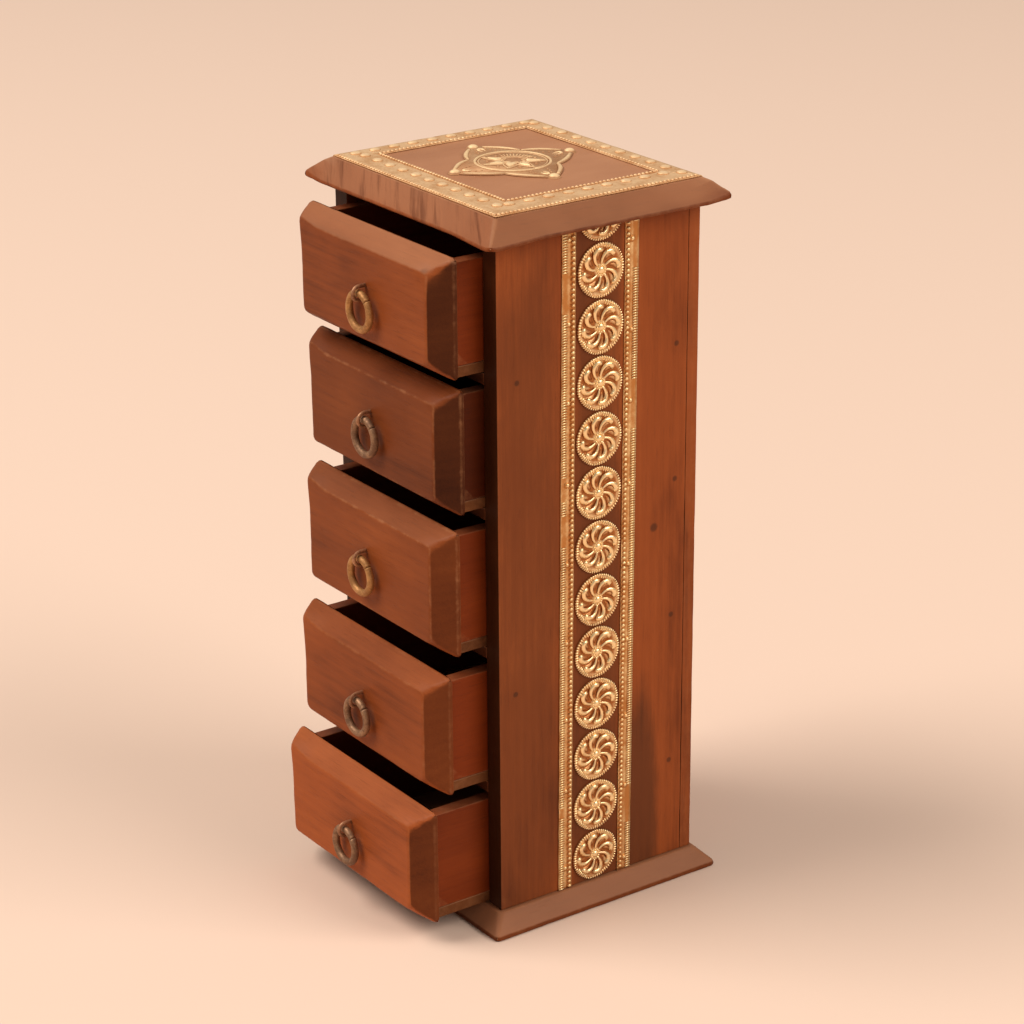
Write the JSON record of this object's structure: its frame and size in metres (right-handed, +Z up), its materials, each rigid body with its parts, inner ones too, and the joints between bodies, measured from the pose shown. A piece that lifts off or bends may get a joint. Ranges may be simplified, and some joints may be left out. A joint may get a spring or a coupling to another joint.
{
  "type": "chest of drawers",
  "caption": "Narrow tabletop chest of bevelled drawers in stained wood, with ring pulls, whirling brass rosette strips on the sides and a brass border and medallion on top.",
  "frame": {"origin": "middle of the base board's underside, on the surface that the chest stands on", "axes": "+Z up; the drawers open towards -Y; +X is to the right of someone who faces the drawers"},
  "size_m": [0.132, 0.152, 0.3067],
  "materials": {
    "carcass_wood": "red-brown stain, satin, worn at the arrises",
    "front_wood": "red-brown stain, satin, worn at the arrises",
    "drawer_wood": "stained, dull",
    "side_brass": "pressed sheet, bright with brown in the recesses",
    "top_brass": "pressed sheet, paler and flatter",
    "pull_brass": "bent wire, darkened with handling"
  },
  "bodies": {
    "carcass": {"base_board": "carcass_wood", "top_board": "carcass_wood", "side_panel_left": "carcass_wood", "side_panel_right": "carcass_wood", "back_panel": "carcass_wood", "shelf_1": "carcass_wood", "shelf_2": "carcass_wood", "shelf_3": "carcass_wood", "shelf_4": "carcass_wood", "rosette_strip_right": "side_brass", "rosette_strip_left": "side_brass", "edge_strip_right_front": "side_brass", "edge_strip_right_rear": "side_brass", "edge_strip_left_front": "side_brass", "edge_strip_left_rear": "side_brass", "top_border_front": "top_brass", "top_border_right": "top_brass", "top_border_rear": "top_brass", "top_border_left": "top_brass", "top_medallion": "top_brass"},
    "drawer_1": {"drawer_1_front": "front_wood", "drawer_1_side_left": "drawer_wood", "drawer_1_side_right": "drawer_wood", "drawer_1_back": "drawer_wood", "drawer_1_floor": "drawer_wood", "drawer_1_pull_staple": "pull_brass"},
    "ring_1": {"drawer_1_pull_ring": "pull_brass"},
    "drawer_2": {"drawer_2_front": "front_wood", "drawer_2_side_left": "drawer_wood", "drawer_2_side_right": "drawer_wood", "drawer_2_back": "drawer_wood", "drawer_2_floor": "drawer_wood", "drawer_2_pull_staple": "pull_brass"},
    "ring_2": {"drawer_2_pull_ring": "pull_brass"},
    "drawer_3": {"drawer_3_front": "front_wood", "drawer_3_side_left": "drawer_wood", "drawer_3_side_right": "drawer_wood", "drawer_3_back": "drawer_wood", "drawer_3_floor": "drawer_wood", "drawer_3_pull_staple": "pull_brass"},
    "ring_3": {"drawer_3_pull_ring": "pull_brass"},
    "drawer_4": {"drawer_4_front": "front_wood", "drawer_4_side_left": "drawer_wood", "drawer_4_side_right": "drawer_wood", "drawer_4_back": "drawer_wood", "drawer_4_floor": "drawer_wood", "drawer_4_pull_staple": "pull_brass"},
    "ring_4": {"drawer_4_pull_ring": "pull_brass"},
    "drawer_5": {"drawer_5_front": "front_wood", "drawer_5_side_left": "drawer_wood", "drawer_5_side_right": "drawer_wood", "drawer_5_back": "drawer_wood", "drawer_5_floor": "drawer_wood", "drawer_5_pull_staple": "pull_brass"},
    "ring_5": {"drawer_5_pull_ring": "pull_brass"}
  },
  "joints": [
    {"name": "drawer_1_slide", "type": "slide", "parent": "carcass", "child": "drawer_1", "axis": [0, -1, 0], "range_m": [-0.0136, 0.0511]},
    {"name": "ring_1_swing", "type": "hinge", "parent": "drawer_1", "child": "ring_1", "pos_m": [0.0026, -0.0767, 0.2667], "axis": [-1, 0, 0], "range_deg": [-3, 180]},
    {"name": "drawer_2_slide", "type": "slide", "parent": "carcass", "child": "drawer_2", "axis": [0, -1, 0], "range_m": [-0.0112, 0.0535]},
    {"name": "ring_2_swing", "type": "hinge", "parent": "drawer_2", "child": "ring_2", "pos_m": [0.0002, -0.0743, 0.21325], "axis": [-1, 0, 0], "range_deg": [-3, 180]},
    {"name": "drawer_3_slide", "type": "slide", "parent": "carcass", "child": "drawer_3", "axis": [0, -1, 0], "range_m": [-0.014, 0.0507]},
    {"name": "ring_3_swing", "type": "hinge", "parent": "drawer_3", "child": "ring_3", "pos_m": [-0.0012, -0.0771, 0.15375], "axis": [-1, 0, 0], "range_deg": [-3, 180]},
    {"name": "drawer_4_slide", "type": "slide", "parent": "carcass", "child": "drawer_4", "axis": [0, -1, 0], "range_m": [-0.0185, 0.0462]},
    {"name": "ring_4_swing", "type": "hinge", "parent": "drawer_4", "child": "ring_4", "pos_m": [0.0001, -0.0816, 0.0923], "axis": [-1, 0, 0], "range_deg": [-3, 180]},
    {"name": "drawer_5_slide", "type": "slide", "parent": "carcass", "child": "drawer_5", "axis": [0, -1, 0], "range_m": [-0.0267, 0.038]},
    {"name": "ring_5_swing", "type": "hinge", "parent": "drawer_5", "child": "ring_5", "pos_m": [0.0015, -0.0898, 0.0359], "axis": [-1, 0, 0], "range_deg": [-3, 180]}
  ]
}
